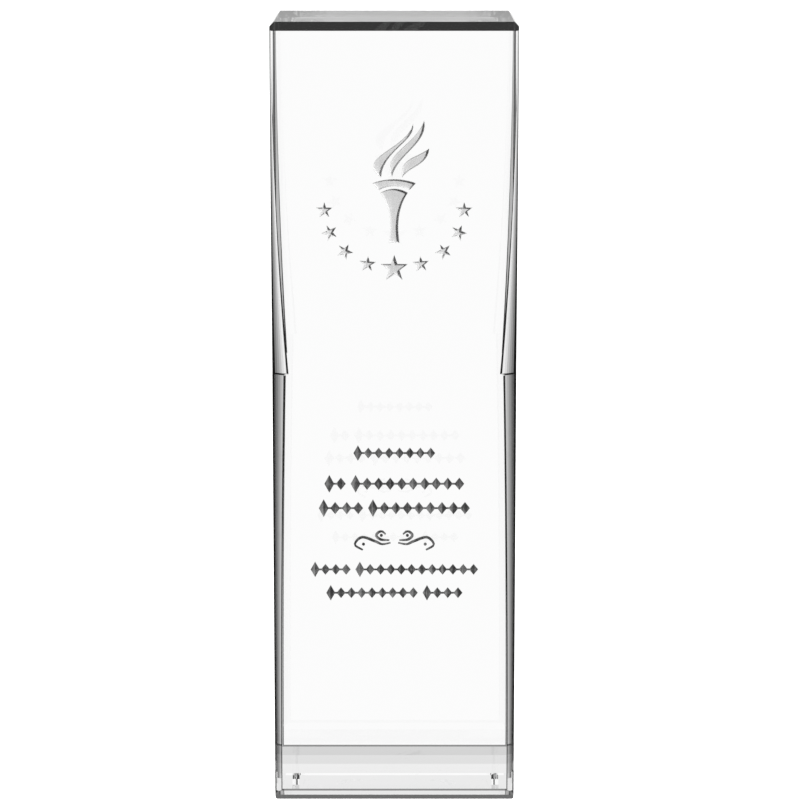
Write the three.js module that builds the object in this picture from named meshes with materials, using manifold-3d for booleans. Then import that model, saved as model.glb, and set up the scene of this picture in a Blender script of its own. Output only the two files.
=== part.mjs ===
// Crystal award: a tall crystal block with double-tapered corner facets. A torch, an arc of stars,
// a scroll ornament and five rows of placeholder marks are carved into its front face, and each
// carved recess holds its own silver-grey infill.
// Millimetres, +Z up. The front face looks along -Y and the base rests on Z = 0.

import * as THREE from "three";
import { mergeVertices } from "three/addons/utils/BufferGeometryUtils.js";
import Module from "manifold-3d";

const wasm = await Module();
wasm.setup();

// Block
const BLOCK_WIDTH = 64.4;
const BLOCK_DEPTH = 50;
const BLOCK_HEIGHT = 210;

// Bevels where the front and back faces meet the top and the base, as flats that follow each other
// from the upright face to the end. Each flat has its own height and its lean in degrees.
const TOP_BEVEL = [{ height: 2.2, lean: 45 }];
const BASE_FRONT_BEVEL = [
  { height: 0.7, lean: 38 },
  { height: 1.7, lean: 45 },
  { height: 2, lean: 52 },
];
const BASE_BACK_BEVEL = [
  { height: 0.45, lean: 38 },
  { height: 2.1, lean: 43 },
  { height: 2.1, lean: 45 },
  { height: 2.2, lean: 47 },
];
const SIDE_TOP_BEVEL = [{ height: 1.1, lean: 45 }];
const SIDE_BASE_BEVEL = [{ height: 0.45, lean: 45 }];

// Corner facets: each upright corner is cut by one long facet above the ridge and one below. A
// facet is widest at the ridge and narrows towards its end. Widths run across the front or back
// face, lean is the depth gained for each millimetre across the facet's middle, and hollow is how
// unevenly it is gained: 0 is flat, 1 starts level with the face.
const RIDGE_HEIGHT = 118;
const RIDGE_STEP_HEIGHT = 0.4; // the short slope that joins the two facets
const UPPER_FACET = {
  front: { ridgeWidth: 4.4, endWidth: 0.4, lean: 0.52, hollow: 0.5 },
  back: { ridgeWidth: 2.9, endWidth: 0.4, lean: 0.52, hollow: 0 },
};
const LOWER_FACET = {
  front: { ridgeWidth: 3.5, endWidth: 2, lean: 0.65, hollow: 0.3 },
  back: { ridgeWidth: 2.6, endWidth: 1.2, lean: 0.5, hollow: 0 },
};
const FACET_TAPER = 2; // 1 narrows a facet evenly, more narrows it faster near the ridge
const FACET_SLICES = 8; // straight slices that follow the taper
const FACET_STRIPS = 5; // flat strips that follow the hollow

// The two steeper strips along a facet's edges, each with its share of the facet's width
const SHOULDER = { share: 0.13, lean: 1.35 }; // next to the front or back face
const ARRIS = { share: 0.18, lean: 1.43 }; // next to the side face

// How far a cutter reaches past what it cuts
const CUTTER_OVERSHOOT = 0.5; // as a share of its own depth or edge
const CUTTER_MARGIN = 0.5; // beyond the corner, the top face and the base

// Carving and infill
const CARVING_DEPTH = 0.8;
const INFILL_THICKNESS = 0.5;
const INFILL_CLEARANCE = 0.08; // between the infill and the wall of its recess, all round
const MITRE_LIMIT = 4; // how much further than the clearance a sharp tip may draw back
const CURVE_STEPS = 12; // straight steps in each curved stretch of an outline

// Torch, placed by how far its foot is below the top face
const TORCH_FOOT_DROP = 57.2;
const HANDLE_HEIGHT = 13.1; // at its sides
const HANDLE_TOP_WIDTH = 7.1;
const HANDLE_FOOT_WIDTH = 2.7;
const HANDLE_WAIST_PULL = 3.1; // how far the side curves are drawn in between top and foot
const TORCH_CROWN = 1; // the rise in the middle of each curved edge of the handle and collar
const COLLAR_GAP = 0.7;
const COLLAR_HEIGHT = 1.8;
const COLLAR_TOP_WIDTH = 11.2;
const COLLAR_BASE_WIDTH = 8;
const FLAME_GAP = 0.3;

// Each tongue runs from its root up one side to the tip and back down the other side.
// Points are [x, z] from the middle of the flame's foot.
const FLAME_TONGUES = [
  {
    name: "flame_outer_tongue",
    root: [-3.4, 0.1],
    tip: [4.9, 14.3],
    up: [[-10.8, 5.5], [3.5, 7.5]],
    down: [[5.9, 9.6], [-3.2, 7.2]],
  },
  {
    name: "flame_middle_tongue",
    root: [-0.6, 0.25],
    tip: [7.8, 15.1],
    up: [[-3.6, 6.5], [5.4, 8.2]],
    down: [[9, 9], [0.8, 6.5]],
  },
  {
    name: "flame_inner_tongue",
    root: [2, 0.1],
    tip: [9.1, 7.8],
    up: [[1.2, 5.4], [5.6, 5]],
    down: [[8.8, 3.2], [3.6, 3]],
  },
];

// Stars, spaced evenly along the lower half of an ellipse
const STAR_ARC_DROP = 48.7; // from the top face to the middle of the ellipse
const STAR_ARC_HALF_WIDTH = 18.2;
const STAR_ARC_HALF_HEIGHT = 15.3;
const STAR_COUNT = 9; // an odd number, so that one star is in the middle
const STAR_RADIUS = 2.2;
const MIDDLE_STAR_RADIUS = 3.7;
const STAR_WAIST = 0.4; // radius of a star's inner corners, as a share of its tips' radius
const STAR_POINTS = 5;

// Scroll ornament, placed by its height above the base: the left half, which is then mirrored
const ORNAMENT_HEIGHT = 73;
const LONG_SCROLL = [[-8.4, -2.5], [-10.5, -1], [-8.6, 1], [-5.2, -0.1], [-3.3, -0.9], [-1, -0.5]];
const SHORT_SCROLL = [[-2.3, 1.8], [-3.5, 2.6], [-4.8, 1.6], [-3.7, 0.4], [-1.3, 0.2]];
const ORNAMENT_DOTS = [[-8.2, -0.9], [-3.45, 1.5]];
const SCROLL_WIDTH = 0.72; // at its widest, half way along
const SCROLL_END_WIDTH = 0.4;
const DOT_RADIUS = 0.42;
const DOT_SIDES = 12;

// Inscription rows: a chain of lozenges stands for each word
const ROW_HEIGHTS = { first: 96.8, second: 88.5, third: 81.9, fourth: 65.2, fifth: 58.8 };
const LARGE_MARK = { pitch: 3.05, width: 2.6, height: 3.3, leadHeight: 4.8 };
const SMALL_MARK = { pitch: 2.75, width: 2.35, height: 2.9, leadHeight: 4.2 };
const WORD_GAP = 1.3; // from the last lozenge of a word to the first of the next
const CHAIN_LINK_HEIGHT = 0.5; // the thin band that joins the lozenges
const INSCRIPTION_ROWS = [
  { row: "first", words: [8], mark: SMALL_MARK },
  { row: "second", words: [2, 10], mark: LARGE_MARK },
  { row: "third", words: [4, 9], mark: LARGE_MARK },
  { row: "fourth", words: [4, 12], mark: SMALL_MARK },
  { row: "fifth", words: [9, 4], mark: SMALL_MARK },
];

// Materials
const CRYSTAL = { color: 0xf2f7f9, roughness: 0.02, metalness: 0, transparent: true, opacity: 0.35 };
const EMBLEM_INFILL = { color: 0xcccccc, roughness: 0.55, metalness: 0.1 };
const LETTERING_INFILL = { color: 0x6f6f70, roughness: 0.4, metalness: 0.4 };

// ---- Solids ----

function toSolid(geometry) {
  const bare = geometry.clone();
  bare.deleteAttribute("normal");
  bare.deleteAttribute("uv");
  const merged = mergeVertices(bare, 1e-4);
  const mesh = new wasm.Mesh({
    numProp: 3,
    vertProperties: new Float32Array(merged.attributes.position.array),
    triVerts: new Uint32Array(merged.index.array),
  });
  return new wasm.Manifold(mesh);
}

function toGeometry(solid) {
  const { vertProperties, triVerts } = solid.getMesh();
  const geometry = new THREE.BufferGeometry();
  geometry.setAttribute("position", new THREE.BufferAttribute(vertProperties, 3));
  geometry.setIndex(new THREE.BufferAttribute(triVerts, 1));
  const flat = geometry.toNonIndexed();
  flat.computeVertexNormals();
  return flat;
}

// ---- Outlines, as counter-clockwise lists of points in the plane of the front face ----

function counterClockwise(points) {
  return THREE.ShapeUtils.isClockWise(points) ? [...points].reverse() : points;
}

// A drawn shape's points. The shape ends where it began, so the last point is dropped.
function drawnPoints(shape) {
  return shape.getPoints(CURVE_STEPS).slice(0, -1);
}

// The outline with every side moved inwards by the distance.
function insetOutline(points, distance) {
  return points.map((point, i) => {
    const incoming = point.clone().sub(points.at(i - 1)).normalize();
    const outgoing = points[(i + 1) % points.length].clone().sub(point).normalize();
    const along = incoming.add(outgoing);
    const inwards = new THREE.Vector2(-along.y, along.x);
    const mitre = Math.min(2 / inwards.length(), MITRE_LIMIT);
    return point.clone().addScaledVector(inwards.normalize(), distance * mitre);
  });
}

function handleOutline() {
  const top = HANDLE_TOP_WIDTH / 2;
  const foot = HANDLE_FOOT_WIDTH / 2;
  const waist = top - HANDLE_WAIST_PULL;
  const shape = new THREE.Shape();
  shape.moveTo(-foot, 0);
  shape.lineTo(foot, 0);
  shape.bezierCurveTo(waist, HANDLE_HEIGHT / 2, top / 2, HANDLE_HEIGHT * 0.8, top, HANDLE_HEIGHT);
  shape.quadraticCurveTo(0, HANDLE_HEIGHT + 2 * TORCH_CROWN, -top, HANDLE_HEIGHT);
  shape.bezierCurveTo(-top / 2, HANDLE_HEIGHT * 0.8, -waist, HANDLE_HEIGHT / 2, -foot, 0);
  return drawnPoints(shape);
}

function collarOutline() {
  const base = COLLAR_BASE_WIDTH / 2;
  const top = COLLAR_TOP_WIDTH / 2;
  const shape = new THREE.Shape();
  shape.moveTo(-base, 0);
  shape.quadraticCurveTo(0, 2 * TORCH_CROWN, base, 0);
  shape.lineTo(top, COLLAR_HEIGHT);
  shape.quadraticCurveTo(0, COLLAR_HEIGHT + 2 * TORCH_CROWN, -top, COLLAR_HEIGHT);
  shape.lineTo(-base, 0);
  return drawnPoints(shape);
}

function tongueOutline({ root, tip, up, down }) {
  const shape = new THREE.Shape();
  shape.moveTo(...root);
  shape.bezierCurveTo(...up[0], ...up[1], ...tip);
  shape.bezierCurveTo(...down[0], ...down[1], ...root);
  return drawnPoints(shape);
}

function starOutline(radius, tilt) {
  const points = [];
  for (let i = 0; i < 2 * STAR_POINTS; i += 1) {
    const angle = Math.PI / 2 + tilt + (i * Math.PI) / STAR_POINTS;
    const reach = i % 2 ? radius * STAR_WAIST : radius;
    points.push(new THREE.Vector2(reach * Math.cos(angle), reach * Math.sin(angle)));
  }
  return points;
}

function dotOutline() {
  const points = [];
  for (let i = 0; i < DOT_SIDES; i += 1) {
    const angle = (2 * Math.PI * i) / DOT_SIDES;
    points.push(new THREE.Vector2(DOT_RADIUS * Math.cos(angle), DOT_RADIUS * Math.sin(angle)));
  }
  return points;
}

// A ribbon that follows the guide points and swells from its ends to the middle.
function scrollOutline(guidePoints) {
  const guide = new THREE.SplineCurve(guidePoints.map(([x, z]) => new THREE.Vector2(x, z)));
  const steps = 2 * CURVE_STEPS;
  const oneSide = [];
  const otherSide = [];
  for (let i = 0; i <= steps; i += 1) {
    const t = i / steps;
    const swell = Math.sin(Math.PI * t);
    const halfWidth = (SCROLL_END_WIDTH + (SCROLL_WIDTH - SCROLL_END_WIDTH) * swell) / 2;
    const middle = guide.getPointAt(t);
    const { x, y } = guide.getTangentAt(t);
    const across = new THREE.Vector2(-y, x).multiplyScalar(halfWidth);
    oneSide.push(middle.clone().add(across));
    otherSide.push(middle.clone().sub(across));
  }
  return [...oneSide, ...otherSide.reverse()];
}

// A word's lozenges side by side, joined by a thin band, starting at x = 0 with the tall one.
function chainOutline(count, { pitch, width, height, leadHeight }) {
  const upper = [new THREE.Vector2(0, 0)];
  for (let i = 0; i < count; i += 1) {
    const middle = width / 2 + i * pitch;
    const rise = (i === 0 ? leadHeight : height) / 2;
    const link = CHAIN_LINK_HEIGHT / 2;
    const linkReach = (width / 2) * (1 - link / rise);
    if (i > 0) upper.push(new THREE.Vector2(middle - linkReach, link));
    upper.push(new THREE.Vector2(middle, rise));
    if (i < count - 1) upper.push(new THREE.Vector2(middle + linkReach, link));
  }
  const end = new THREE.Vector2(chainLength(count, { pitch, width }), 0);
  const lower = upper.slice(1).map(({ x, y }) => new THREE.Vector2(x, -y));
  return [...upper, end, ...lower.reverse()];
}

function chainLength(count, { pitch, width }) {
  return (count - 1) * pitch + width;
}

function mirrored(points) {
  return points.map(([x, z]) => [-x, z]);
}

// ---- Marks: everything carved into the front face, each with its outline and its place ----

function torchMarks() {
  const foot = BLOCK_HEIGHT - TORCH_FOOT_DROP;
  const collarBase = foot + HANDLE_HEIGHT + COLLAR_GAP;
  const flameBase = collarBase + COLLAR_HEIGHT + TORCH_CROWN + FLAME_GAP;
  return [
    { name: "torch_handle", outline: handleOutline(), x: 0, z: foot, finish: EMBLEM_INFILL },
    { name: "torch_collar", outline: collarOutline(), x: 0, z: collarBase, finish: EMBLEM_INFILL },
    ...FLAME_TONGUES.map((tongue) => ({
      name: tongue.name,
      outline: tongueOutline(tongue),
      x: 0,
      z: flameBase,
      finish: EMBLEM_INFILL,
    })),
  ];
}

function starMarks() {
  const marks = [];
  const last = STAR_COUNT - 1;
  for (let i = 0; i <= last; i += 1) {
    const angle = (Math.PI * i) / last;
    const side = Math.sign(i - last / 2);
    const isMiddle = side === 0;
    const tilt = isMiddle ? 0 : -side * Math.min(angle, Math.PI - angle);
    marks.push({
      name: `star_${i + 1}`,
      outline: starOutline(isMiddle ? MIDDLE_STAR_RADIUS : STAR_RADIUS, tilt),
      x: -STAR_ARC_HALF_WIDTH * Math.cos(angle),
      z: BLOCK_HEIGHT - STAR_ARC_DROP - STAR_ARC_HALF_HEIGHT * Math.sin(angle),
      finish: EMBLEM_INFILL,
    });
  }
  return marks;
}

function ornamentMarks() {
  const marks = [];
  for (const [side, place] of [["left", (points) => points], ["right", mirrored]]) {
    const shared = { z: ORNAMENT_HEIGHT, finish: LETTERING_INFILL };
    const long = scrollOutline(place(LONG_SCROLL));
    const short = scrollOutline(place(SHORT_SCROLL));
    marks.push({ name: `long_scroll_${side}`, outline: long, x: 0, ...shared });
    marks.push({ name: `short_scroll_${side}`, outline: short, x: 0, ...shared });
    place(ORNAMENT_DOTS).forEach(([x, rise], i) => {
      marks.push({
        name: `scroll_dot_${side}_${i + 1}`,
        outline: dotOutline(),
        x,
        z: ORNAMENT_HEIGHT + rise,
        finish: LETTERING_INFILL,
      });
    });
  }
  return marks;
}

function inscriptionMarks() {
  return INSCRIPTION_ROWS.flatMap(({ row, words, mark }) => {
    const lengths = words.map((count) => chainLength(count, mark));
    const total = lengths.reduce((sum, length) => sum + length, WORD_GAP * (words.length - 1));
    let start = -total / 2;
    return words.map((count, i) => {
      const word = {
        name: `${row}_row_word_${i + 1}`,
        outline: chainOutline(count, mark),
        x: start,
        z: ROW_HEIGHTS[row],
        finish: LETTERING_INFILL,
      };
      start += lengths[i] + WORD_GAP;
      return word;
    });
  });
}

// ---- Pieces ----

// An outline as a plate in the X-Z plane that reaches forwards, to -Y, from Y = 0.
function plate(outline, thickness) {
  const shape = new THREE.Shape(outline);
  const geometry = new THREE.ExtrudeGeometry(shape, { depth: thickness, bevelEnabled: false });
  return geometry.rotateX(Math.PI / 2);
}

const CARVING_FLOOR = -BLOCK_DEPTH / 2 + CARVING_DEPTH;

function recessSolid({ outline, x, z }) {
  const cutter = plate(outline, CARVING_DEPTH * (1 + CUTTER_OVERSHOOT));
  return toSolid(cutter.translate(x, CARVING_FLOOR, z));
}

// The line that a corner cut follows, from the front or back face to the side face. Points are
// distances inwards from the sharp corner, and the ends overshoot the faces.
function cornerCutLine({ width, lean, hollow }) {
  const shoulder = width * SHOULDER.share;
  const arris = width * ARRIS.share;
  const across = width - shoulder - arris;
  const points = [new THREE.Vector2(width, 0)];
  for (let i = 0; i <= FACET_STRIPS; i += 1) {
    const share = i / FACET_STRIPS;
    const gained = share - hollow * share * (1 - share);
    const inwards = width - shoulder - across * share;
    points.push(new THREE.Vector2(inwards, shoulder * SHOULDER.lean + across * lean * gained));
  }
  points.push(new THREE.Vector2(0, points.at(-1).y + arris * ARRIS.lean));
  const first = points[0].clone().lerp(points[1], -CUTTER_OVERSHOOT);
  const last = points.at(-1).clone().lerp(points.at(-2), -CUTTER_OVERSHOOT);
  return [first, ...points.slice(1, -1), last];
}

// One facet's sections, from the ridge to its end.
function facetSections({ ridgeWidth, endWidth, lean, hollow }, ridge, end) {
  const sections = [];
  for (let i = 0; i <= FACET_SLICES; i += 1) {
    const share = i / FACET_SLICES;
    const width = endWidth + (ridgeWidth - endWidth) * (1 - share) ** FACET_TAPER;
    sections.push({ height: ridge + (end - ridge) * share, width, lean, hollow });
  }
  return sections;
}

// A closed solid through rings of equally many points, each counter-clockwise seen from above.
// Every point of a ring must be in plain sight of its first point.
function loft(rings) {
  const count = rings[0].length;
  const top = (rings.length - 1) * count;
  const indices = [];
  for (let i = 1; i < count - 1; i += 1) {
    indices.push(0, i + 1, i, top, top + i, top + i + 1);
  }
  for (let start = 0; start < top; start += count) {
    for (let i = 0; i < count; i += 1) {
      const next = (i + 1) % count;
      indices.push(start + i, start + next, start + count + next);
      indices.push(start + i, start + count + next, start + count + i);
    }
  }
  const positions = rings.flat().flatMap(({ x, y, z }) => [x, y, z]);
  const geometry = new THREE.BufferGeometry();
  geometry.setAttribute("position", new THREE.Float32BufferAttribute(positions, 3));
  geometry.setIndex(indices);
  return toSolid(geometry);
}

function cornerCutter(sideX, sideY) {
  const face = sideY < 0 ? "front" : "back";
  const below = facetSections(LOWER_FACET[face], RIDGE_HEIGHT - RIDGE_STEP_HEIGHT, 0);
  const above = facetSections(UPPER_FACET[face], RIDGE_HEIGHT, BLOCK_HEIGHT);
  below.at(-1).height -= CUTTER_MARGIN;
  above.at(-1).height += CUTTER_MARGIN;
  const outside = new THREE.Vector2(-CUTTER_MARGIN, -CUTTER_MARGIN);
  const rings = [...below.reverse(), ...above].map((section) => {
    const line = cornerCutLine(section);
    const ring = [outside, ...(sideX === sideY ? line : line.reverse())];
    return ring.map(({ x, y }) => {
      const place = [sideX * (BLOCK_WIDTH / 2 - x), sideY * (BLOCK_DEPTH / 2 - y)];
      return new THREE.Vector3(...place, section.height);
    });
  });
  return loft(rings);
}

// The points where a bevel's flats meet, as [inset from the upright face, distance from the end].
function bevelPoints(flats) {
  let inset = 0;
  let distance = flats.reduce((sum, { height }) => sum + height, 0);
  const points = [[inset, distance]];
  for (const { height, lean } of flats) {
    inset += height * Math.tan(THREE.MathUtils.degToRad(lean));
    distance -= height;
    points.push([inset, distance]);
  }
  return points;
}

// The block's outline between two upright faces, with the given bevels at its four corners.
function bevelledProfile(halfLength, { baseStart, baseEnd, top }) {
  const end = bevelPoints(baseEnd).map(([inset, z]) => [halfLength - inset, z]);
  const start = bevelPoints(baseStart).map(([inset, z]) => [inset - halfLength, z]);
  const topEnd = bevelPoints(top).map(([inset, drop]) => [halfLength - inset, BLOCK_HEIGHT - drop]);
  const topStart = topEnd.map(([across, z]) => [-across, z]);
  const corners = [...end.reverse(), ...topEnd, ...topStart.reverse(), ...start];
  return corners.map(([across, z]) => new THREE.Vector2(across, z));
}

function bevelledBlock() {
  const fromFront = bevelledProfile(BLOCK_WIDTH / 2, {
    baseStart: SIDE_BASE_BEVEL,
    baseEnd: SIDE_BASE_BEVEL,
    top: SIDE_TOP_BEVEL,
  });
  const fromSide = bevelledProfile(BLOCK_DEPTH / 2, {
    baseStart: BASE_FRONT_BEVEL,
    baseEnd: BASE_BACK_BEVEL,
    top: TOP_BEVEL,
  });
  const alongDepth = plate(fromFront, BLOCK_DEPTH).translate(0, BLOCK_DEPTH / 2, 0);
  const alongWidth = plate(fromSide, BLOCK_WIDTH)
    .rotateZ(Math.PI / 2)
    .translate(-BLOCK_WIDTH / 2, 0, 0);
  return toSolid(alongDepth).intersect(toSolid(alongWidth));
}

function crystalBlock(marks) {
  let block = bevelledBlock();
  for (const sideX of [-1, 1]) {
    for (const sideY of [-1, 1]) {
      block = block.subtract(cornerCutter(sideX, sideY));
    }
  }
  for (const mark of marks) {
    block = block.subtract(recessSolid(mark));
  }
  const mesh = new THREE.Mesh(toGeometry(block), new THREE.MeshStandardMaterial(CRYSTAL));
  mesh.name = "crystal_block";
  return mesh;
}

function infill({ name, outline, x, z, finish }) {
  const geometry = plate(insetOutline(outline, INFILL_CLEARANCE), INFILL_THICKNESS);
  const mesh = new THREE.Mesh(geometry, new THREE.MeshStandardMaterial(finish));
  mesh.name = name;
  mesh.position.set(x, CARVING_FLOOR, z);
  return mesh;
}

const marks = [...torchMarks(), ...starMarks(), ...ornamentMarks(), ...inscriptionMarks()].map(
  (mark) => ({ ...mark, outline: counterClockwise(mark.outline) }),
);

const award = new THREE.Group();
award.name = "crystal_award";
award.add(crystalBlock(marks), ...marks.map(infill));

export default award;
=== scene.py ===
"""Crystal award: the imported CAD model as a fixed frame, with a polished crystal block, painted
carvings, a plain pale floor and a studio of light panels. Blender 4.5, metres, +Z up, front
towards -Y."""
import math

import bmesh
import bpy
import numpy as np
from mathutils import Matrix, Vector
from mathutils.geometry import delaunay_2d_cdt


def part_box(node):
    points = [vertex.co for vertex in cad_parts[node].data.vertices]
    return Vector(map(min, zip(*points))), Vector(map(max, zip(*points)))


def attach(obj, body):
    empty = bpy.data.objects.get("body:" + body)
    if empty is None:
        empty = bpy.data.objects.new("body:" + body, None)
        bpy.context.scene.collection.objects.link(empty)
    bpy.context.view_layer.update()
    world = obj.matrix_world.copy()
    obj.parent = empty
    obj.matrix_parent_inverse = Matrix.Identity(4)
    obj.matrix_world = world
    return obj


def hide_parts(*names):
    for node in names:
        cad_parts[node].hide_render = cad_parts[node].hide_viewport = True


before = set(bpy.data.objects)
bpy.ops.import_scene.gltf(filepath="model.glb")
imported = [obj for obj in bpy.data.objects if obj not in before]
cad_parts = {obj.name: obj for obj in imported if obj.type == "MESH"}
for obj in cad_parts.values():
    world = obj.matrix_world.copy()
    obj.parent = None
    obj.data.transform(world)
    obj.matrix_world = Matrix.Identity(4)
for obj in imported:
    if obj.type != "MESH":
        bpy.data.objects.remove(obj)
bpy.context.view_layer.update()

MM = 0.001
block_low, block_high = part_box("crystal_block")

# ---- Carved infills ----
INFILL_GROWTH = 0.06 * MM       # towards the recess wall, which leaves 0.02 mm
MITRE_LIMIT = 4
RIM_SETBACK = 0.02 * MM         # behind the front face
BACK_CLEARANCE = 0.02 * MM      # in front of the recess floor
CARVING_GRID = 0.16 * MM
EMBLEM_WALL_WIDTH = 0.25 * MM
EMBLEM_WALL_DEPTH = 0.68 * MM
LETTERING_WALL_WIDTH = 1.2 * MM
LETTERING_WALL_DEPTH = 0.5 * MM
FACE_TOLERANCE = 0.01 * MM      # within which a corner is on an infill's front face
POINT_GAP = 0.4 * CARVING_GRID  # from the grid to the outline and to the foot of the wall
FOOT_SHARE = 0.98               # of the wall's width, nearer than which a foot point is dropped
MERGE_DISTANCE = 0.001 * MM

# ---- Camera, at the photograph's viewing angle ----
CAMERA_DISTANCE = 803.9 * MM   # from the front face
CAMERA_HEIGHT = 264.0 * MM
CAMERA_SIDE = 1.5 * MM         # to the right of the block's middle
CAMERA_PITCH = math.radians(10.77)
CAMERA_LENS = 139.9            # mm, on a sensor of the width below
CAMERA_SENSOR = 36
CAMERA_NEAR_CLIP = 10 * MM

# ---- Floor ----
FLOOR_RADIUS = 12.0
FLOOR_DROP = 0.15 * MM         # below the block, so that the two don't touch
FLOOR_SIDES = 64
FLOOR_COLOUR = (0.95, 0.95, 0.95, 1)
FLOOR_ROUGHNESS = 0.9

# ---- Crystal ----
CRYSTAL_IOR = 1.517
POLISH_WAVES = 60.0            # per metre
POLISH_WAVE_DEPTH = 0.05 * MM
POLISH_WAVE_STRENGTH = 0.03

# ---- Paint ----
# the last key sets how strong the upright streaks of painted sheen in each paint's colour are
EMBLEM_PAINT = {"colour": (0.62, 0.62, 0.62), "roughness": 0.6, "metallic": 0.0, "painted_sheen_streaks": 0.02}
LETTERING_PAINT = {"colour": (0.12, 0.12, 0.12), "roughness": 0.4, "metallic": 0.3, "painted_sheen_streaks": 0.5}
GRAIN_SCALE = 9000.0
GRAIN_RANGE = (0.25, 0.75)
GRAIN_TONES = (0.93, 1.07)
GRAIN_DEPTH = 0.03 * MM
GRAIN_STRENGTH = 0.3
ROUGHNESS_RANGE = (0.2, 0.8)
ROUGHNESS_SPREAD = 0.08
# the upright streaks of painted sheen: lighter and darker bands painted into the colour
SHEEN_STREAK_SCALE = (1300.0, 1300.0, 140.0)
SHEEN_STREAK_RANGE = (0.35, 0.65)


def add_camera():
    data = bpy.data.cameras.new("camera")
    data.lens = CAMERA_LENS
    data.sensor_width = CAMERA_SENSOR
    data.clip_start = CAMERA_NEAR_CLIP
    camera = bpy.data.objects.new("camera", data)
    bpy.context.scene.collection.objects.link(camera)
    camera.location = (CAMERA_SIDE, block_low[1] - CAMERA_DISTANCE, CAMERA_HEIGHT)
    camera.rotation_euler = (math.pi / 2 - CAMERA_PITCH, 0, 0)
    bpy.context.scene.camera = camera


class Tree:
    """A short way to add and link shader nodes."""

    def __init__(self, tree):
        self.tree = tree
        tree.nodes.clear()

    def add(self, kind, inputs=None, **settings):
        node = self.tree.nodes.new(kind)
        for name, value in settings.items():
            setattr(node, name, value)
        for name, value in (inputs or {}).items():
            socket = node.inputs[name]
            if isinstance(value, bpy.types.NodeSocket):
                self.tree.links.new(value, socket)
            else:
                socket.default_value = value
        return node

    def math(self, operation, *values):
        inputs = dict(enumerate(values))
        return self.add("ShaderNodeMath", inputs, operation=operation).outputs[0]

    def ramp(self, value, low, high, to_low=0.0, to_high=1.0, kind="LINEAR"):
        inputs = {"Value": value, "From Min": low, "From Max": high, "To Min": to_low, "To Max": to_high}
        node = self.add("ShaderNodeMapRange", inputs, interpolation_type=kind)
        return node.outputs["Result"]

    def mix(self, factor, first, second):
        inputs = {"Factor": factor, "A": first, "B": second}
        return self.add("ShaderNodeMix", inputs, data_type="FLOAT").outputs["Result"]

    def steps(self, degrees, stops):
        """A value that runs straight from stop to stop, each given as (degrees, value)."""
        share = self.ramp(degrees, -90.0, 90.0)
        node = self.add("ShaderNodeValToRGB", {"Fac": share})
        elements = node.color_ramp.elements
        while len(elements) < len(stops):
            elements.new(1.0)
        for element, (at, value) in zip(elements, stops):
            element.position = (at + 90) / 180
            element.color = (value, value, value, 1)
        return node.outputs["Color"]

    def smooth(self, value, low, high, to_low=0.0, to_high=1.0):
        return self.ramp(value, low, high, to_low, to_high, "SMOOTHSTEP")


# The studio's brightness by elevation in degrees. The panels that face the block's sides share a
# darker gap above the horizon and a brighter part over it; those at its corners are plain. A ring
# of light overhead and the lit ground underneath reach all the way round.
FACING_PANEL = [
    (-28.5, 0), (-25.5, 1), (3.1, 1), (3.6, 0.34), (3.85, 0.75), (4.2, 0.75), (5, 0.22),
    (8.4, 0.22), (9.8, 0.64), (16, 0.93), (18.6, 1), (20.4, 0),
]
DIAGONAL_PANEL = [(-40, 0), (-36, 1), (34, 1), (40, 0)]
OVER_AND_UNDER = [(-50, 0.85), (-44, 0), (58, 0), (64, 0.85), (80, 0.85), (84, 0.6)]

# The panels' side edges, in degrees away from the nearest direction that faces a side of the block
FACING_EDGE = (6.0, 22.0)       # a facing panel fades out over this
DIAGONAL_EDGE = (36.0, 41.0)    # a corner panel fades in over this
HALF_QUARTER = 45.0

# Strengths. The background's own colour is 0.8, so a strength of 1.25 or more shows as white.
PANEL_STRENGTH = 1.2
GAP_STRENGTH = 0.012
EVEN_STRENGTH = 0.05
BACKDROP_STRENGTH = 1.35

# The suns: energy, the angle each spans in degrees, and the direction it shines from
KEY_LIGHT = (4.5, 10, (1.0, -1.0, 0.55))    # models the carving, from the front right
TOP_LIGHT = (2.2, 40, (0.0, 0.0, 1.0))      # keeps the floor pale
BACK_LIGHT = (2.0, 40, (-0.6, 1.0, 0.8))    # shows the carving through the back


def add_world():
    """Soft light panels all round, with darker gaps between them, above them and below them, so
    that the crystal's bevels and facets read dark against its clear faces."""
    world = bpy.data.worlds.new("studio")
    bpy.context.scene.world = world
    world.use_nodes = True
    tree = Tree(world.node_tree)
    direction = tree.add("ShaderNodeTexCoord").outputs["Generated"]
    x, y, z = tree.add("ShaderNodeSeparateXYZ", {"Vector": direction}).outputs
    elevation = tree.math("MULTIPLY", tree.math("ARCSINE", z), 180 / math.pi)
    azimuth = tree.math("MULTIPLY", tree.math("ARCTAN2", x, y), 180 / math.pi)
    # degrees away from the nearest of the four directions that face the block's sides, 0 to 45
    turn = tree.math("PINGPONG", azimuth, HALF_QUARTER)
    facing = tree.ramp(turn, *FACING_EDGE, 1.0, 0.0)
    diagonal = tree.smooth(turn, *DIAGONAL_EDGE)
    facing_light = tree.math("MULTIPLY", facing, tree.steps(elevation, FACING_PANEL))
    diagonal_light = tree.math("MULTIPLY", diagonal, tree.steps(elevation, DIAGONAL_PANEL))
    panels = tree.math("ADD", facing_light, diagonal_light)
    light = tree.math("ADD", panels, tree.steps(elevation, OVER_AND_UNDER))
    strength = tree.math("MULTIPLY_ADD", light, PANEL_STRENGTH, GAP_STRENGTH)
    rays = tree.add("ShaderNodeLightPath").outputs
    # matt surfaces and the floor are lit evenly from all round
    shown = tree.mix(rays["Is Diffuse Ray"], strength, EVEN_STRENGTH)
    shown = tree.mix(rays["Is Camera Ray"], shown, BACKDROP_STRENGTH)
    background = tree.add("ShaderNodeBackground", {"Strength": shown})
    tree.add("ShaderNodeOutputWorld", {"Surface": background.outputs[0]})


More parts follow.
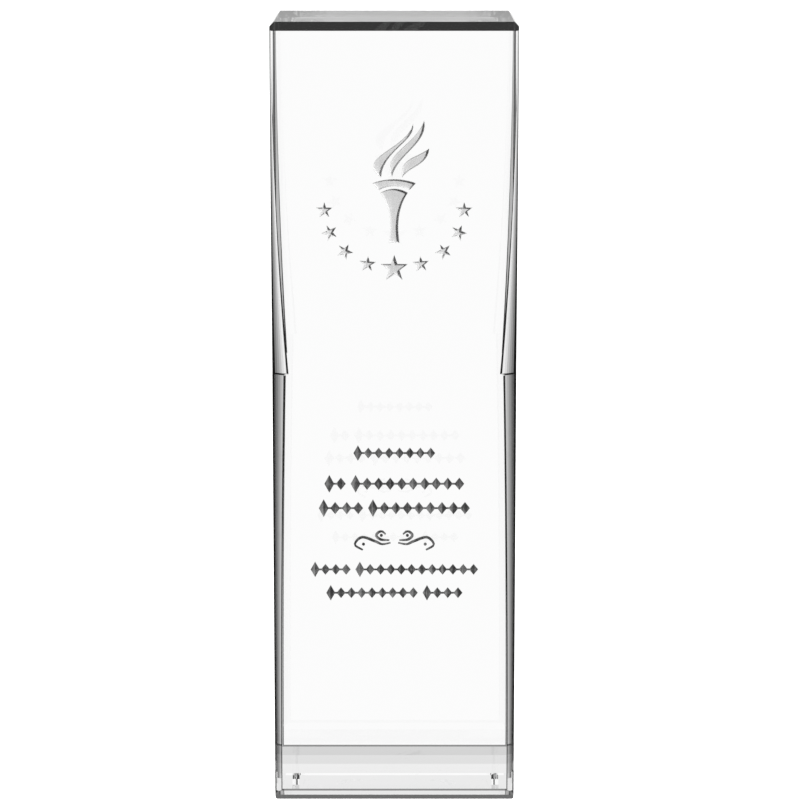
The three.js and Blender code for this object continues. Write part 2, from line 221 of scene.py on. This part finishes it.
def add_sun(name, energy, spread, source):
    """A soft light that the crystal neither mirrors nor shows through."""
    data = bpy.data.lights.new(name, "SUN")
    data.energy = energy
    data.angle = math.radians(spread)
    sun = bpy.data.objects.new(name, data)
    bpy.context.scene.collection.objects.link(sun)
    sun.rotation_euler = (-Vector(source)).to_track_quat("-Z", "Y").to_euler()
    sun.visible_glossy = False
    sun.visible_transmission = False


def add_floor():
    mesh = bpy.data.meshes.new("floor")
    sheet = bmesh.new()
    bmesh.ops.create_circle(sheet, cap_ends=True, segments=FLOOR_SIDES, radius=FLOOR_RADIUS)
    sheet.to_mesh(mesh)
    sheet.free()
    floor = bpy.data.objects.new("floor", mesh)
    bpy.context.scene.collection.objects.link(floor)
    floor.location.z = -FLOOR_DROP
    material = bpy.data.materials.new("floor")
    material.use_nodes = True
    tree = Tree(material.node_tree)
    shader = tree.add(
        "ShaderNodeBsdfPrincipled", {"Base Color": FLOOR_COLOUR, "Roughness": FLOOR_ROUGHNESS}
    )
    tree.add("ShaderNodeOutputMaterial", {"Surface": shader.outputs[0]})
    mesh.materials.append(material)
    # the crystal's edges mirror and show the studio, not this sheet
    floor.visible_transmission = False
    floor.visible_glossy = False
    floor.visible_diffuse = False


def crystal_material():
    material = bpy.data.materials.new("optical_crystal")
    material.use_nodes = True
    tree = Tree(material.node_tree)
    place = tree.add("ShaderNodeTexCoord").outputs["Object"]
    waviness = tree.add(
        "ShaderNodeTexNoise",
        {"Vector": place, "Scale": POLISH_WAVES, "Detail": 2.0, "Roughness": 0.5},
    ).outputs["Fac"]
    bump = tree.add(
        "ShaderNodeBump",
        {"Height": waviness, "Strength": POLISH_WAVE_STRENGTH, "Distance": POLISH_WAVE_DEPTH},
    )
    shader = tree.add(
        "ShaderNodeBsdfPrincipled",
        {
            "Base Color": (1.0, 1.0, 1.0, 1),
            "Roughness": 0.0,
            "IOR": CRYSTAL_IOR,
            "Transmission Weight": 1.0,
            "Normal": bump.outputs[0],
        },
    )
    tree.add("ShaderNodeOutputMaterial", {"Surface": shader.outputs[0]})
    return material


def paint_material(name, colour, roughness, metallic, painted_sheen_streaks):
    """Fine-grained paint. Its upright streaks of painted sheen make the colour up to the given share
    darker, and up to twice that share lighter."""
    material = bpy.data.materials.new(name)
    material.use_nodes = True
    tree = Tree(material.node_tree)
    place = tree.add("ShaderNodeTexCoord").outputs["Object"]
    grain = tree.add(
        "ShaderNodeTexNoise", {"Vector": place, "Scale": GRAIN_SCALE, "Detail": 3.0}
    ).outputs["Fac"]
    stretched = tree.add(
        "ShaderNodeMapping", {"Vector": place, "Scale": SHEEN_STREAK_SCALE}
    ).outputs[0]
    # upright streaks of painted sheen, stretched upwards, which lighten and darken the colour
    painted_sheen = tree.add(
        "ShaderNodeTexNoise", {"Vector": stretched, "Scale": 1.0, "Detail": 2.0}
    ).outputs["Fac"]
    # the grain's own tone times the streaks of painted sheen
    tone = tree.math(
        "MULTIPLY",
        tree.smooth(grain, *GRAIN_RANGE, *GRAIN_TONES),
        tree.smooth(painted_sheen, *SHEEN_STREAK_RANGE, 1 - painted_sheen_streaks, 1 + 2 * painted_sheen_streaks),
    )
    tint = tree.add(
        "ShaderNodeVectorMath", {0: colour, "Scale": tone}, operation="SCALE"
    ).outputs[0]
    rough = tree.smooth(
        grain, *ROUGHNESS_RANGE, roughness - ROUGHNESS_SPREAD, roughness + ROUGHNESS_SPREAD
    )
    bump = tree.add(
        "ShaderNodeBump", {"Height": grain, "Strength": GRAIN_STRENGTH, "Distance": GRAIN_DEPTH}
    )
    shader = tree.add(
        "ShaderNodeBsdfPrincipled",
        {"Base Color": tint, "Roughness": rough, "Metallic": metallic, "Normal": bump.outputs[0]},
    )
    tree.add("ShaderNodeOutputMaterial", {"Surface": shader.outputs[0]})
    return material


def front_outline(node):
    """The corners of a CAD infill's front face, counter-clockwise, as an array of (x, z)."""
    front = min((node.matrix_world @ vertex.co).y for vertex in node.data.vertices)
    sides = set()
    for polygon in node.data.polygons:
        corners = [node.matrix_world @ node.data.vertices[i].co for i in polygon.vertices]
        if any(corner.y > front + FACE_TOLERANCE for corner in corners):
            continue
        places = [(round(corner.x, 7), round(corner.z, 7)) for corner in corners]
        sides.update(zip(places, places[1:] + places[:1]))
    # an edge inside the face is shared by two triangles, so it also runs the other way
    following = {a: b for a, b in sides if (b, a) not in sides}
    loop = [min(following)]
    while following[loop[-1]] != loop[0]:
        loop.append(following[loop[-1]])
    outline = np.array(loop)
    return outline if signed_area(outline) > 0 else outline[::-1]


def signed_area(outline):
    x, z = outline.T
    return 0.5 * float(np.sum(x * np.roll(z, -1) - np.roll(x, -1) * z))


def widened(outline, distance):
    """The outline with every side moved outwards by the distance."""
    incoming = outline - np.roll(outline, 1, axis=0)
    incoming /= np.linalg.norm(incoming, axis=1)[:, None]
    along = incoming + np.roll(incoming, -1, axis=0)
    length = np.linalg.norm(along, axis=1)
    outwards = np.stack([along[:, 1], -along[:, 0]], axis=1) / length[:, None]
    mitre = np.minimum(2 / length, MITRE_LIMIT)
    return outline + outwards * (distance * mitre)[:, None]


def subdivided(outline, spacing):
    points = []
    for start, end in zip(outline, np.roll(outline, -1, axis=0)):
        count = max(1, math.ceil(np.linalg.norm(end - start) / spacing))
        points.extend(start + (end - start) * i / count for i in range(count))
    return np.array(points)


def distance_inside(points, outline):
    """Each point's distance from the outline, negative where it is outside."""
    start, end = outline, np.roll(outline, -1, axis=0)
    side = end - start
    offset = points[:, None] - start[None]
    share = np.clip((offset * side).sum(2) / (side**2).sum(1), 0, 1)
    nearest = np.linalg.norm(offset - share[..., None] * side, axis=2).min(1)
    x, z = points[:, :1], points[:, 1:]
    rises = (start[:, 1] > z) != (end[:, 1] > z)
    height = np.where(side[:, 1] == 0, 1e-12, side[:, 1])
    crossing = start[:, 0] + (z - start[:, 1]) * side[:, 0] / height
    inside = ((x < crossing) & rises).sum(1) % 2 == 1
    return np.where(inside, nearest, -nearest)


def carved_piece(name, node, wall_width, wall_depth):
    """An infill that lines its recess: its front falls from the rim by wall_depth over wall_width,
    then stays level, and its back rests on the recess floor."""
    outline = subdivided(widened(front_outline(node), INFILL_GROWTH), CARVING_GRID)
    low, high = outline.min(0), outline.max(0)
    middle = (low + high) / 2
    reach = np.ceil((high - low) / 2 / CARVING_GRID).astype(int)
    steps = [np.arange(-n, n + 1) * CARVING_GRID for n in reach]
    grid = np.stack(np.meshgrid(*steps), axis=-1).reshape(-1, 2) + middle
    inside = distance_inside(grid, outline)
    clear_of_foot = np.abs(inside - wall_width) > POINT_GAP
    grid = grid[(inside > POINT_GAP) & clear_of_foot]
    # the foot of the wall gets its own points, so that its crease is crisp
    foot = widened(outline, -wall_width)
    foot = foot[distance_inside(foot, outline) > FOOT_SHARE * wall_width]
    points = np.concatenate([outline, foot, grid])
    edges = [(i, (i + 1) % len(outline)) for i in range(len(outline))]
    made = delaunay_2d_cdt([Vector(p) for p in points], edges, [], 1, MERGE_DISTANCE)
    places, triangles = made[0], made[2]
    across = np.array(places)
    depth = np.clip(distance_inside(across, outline) / wall_width, 0, 1) * wall_depth
    rim_y = block_low[1] + RIM_SETBACK
    back_y = node_back(node) - BACK_CLEARANCE
    shape = bmesh.new()
    front = [shape.verts.new((x, rim_y + d, z)) for (x, z), d in zip(across, depth)]
    for triangle in triangles:
        shape.faces.new([front[i] for i in triangle])
    shape.normal_update()
    rim_edges = [edge for edge in shape.edges if edge.is_boundary]
    sides = bmesh.ops.extrude_edge_only(shape, edges=rim_edges)["geom"]
    back = [item for item in sides if isinstance(item, bmesh.types.BMVert)]
    for vertex in back:
        vertex.co.y = back_y
    bmesh.ops.holes_fill(shape, edges=[edge for edge in shape.edges if edge.is_boundary])
    bmesh.ops.recalc_face_normals(shape, faces=shape.faces)
    mesh = bpy.data.meshes.new(name)
    shape.to_mesh(mesh)
    shape.free()
    piece = bpy.data.objects.new(name, mesh)
    bpy.context.scene.collection.objects.link(piece)
    return piece


def node_back(node):
    return max((node.matrix_world @ vertex.co).y for vertex in node.data.vertices)


add_camera()
add_world()
add_floor()
add_sun("key", *KEY_LIGHT)
add_sun("top", *TOP_LIGHT)
add_sun("back", *BACK_LIGHT)

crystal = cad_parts["crystal_block"]
crystal.material_slots[0].material = crystal_material()
crystal.visible_shadow = False

emblem_paint = paint_material("emblem_paint", **EMBLEM_PAINT)
lettering_paint = paint_material("lettering_paint", **LETTERING_PAINT)
for name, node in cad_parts.items():
    if name == "crystal_block":
        continue
    if name.startswith(("torch", "flame", "star")):
        piece = carved_piece(f"carved_{name}", node, EMBLEM_WALL_WIDTH, EMBLEM_WALL_DEPTH)
        piece.data.materials.append(emblem_paint)
    else:
        piece = carved_piece(f"carved_{name}", node, LETTERING_WALL_WIDTH, LETTERING_WALL_DEPTH)
        piece.data.materials.append(lettering_paint)
    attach(piece, "root")
    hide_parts(name)

view = bpy.context.scene.view_settings
view.view_transform = "Standard"
view.look = "None"
cycles = bpy.context.scene.cycles
cycles.max_bounces = 24
cycles.transmission_bounces = 24
cycles.glossy_bounces = 16
cycles.diffuse_bounces = 4
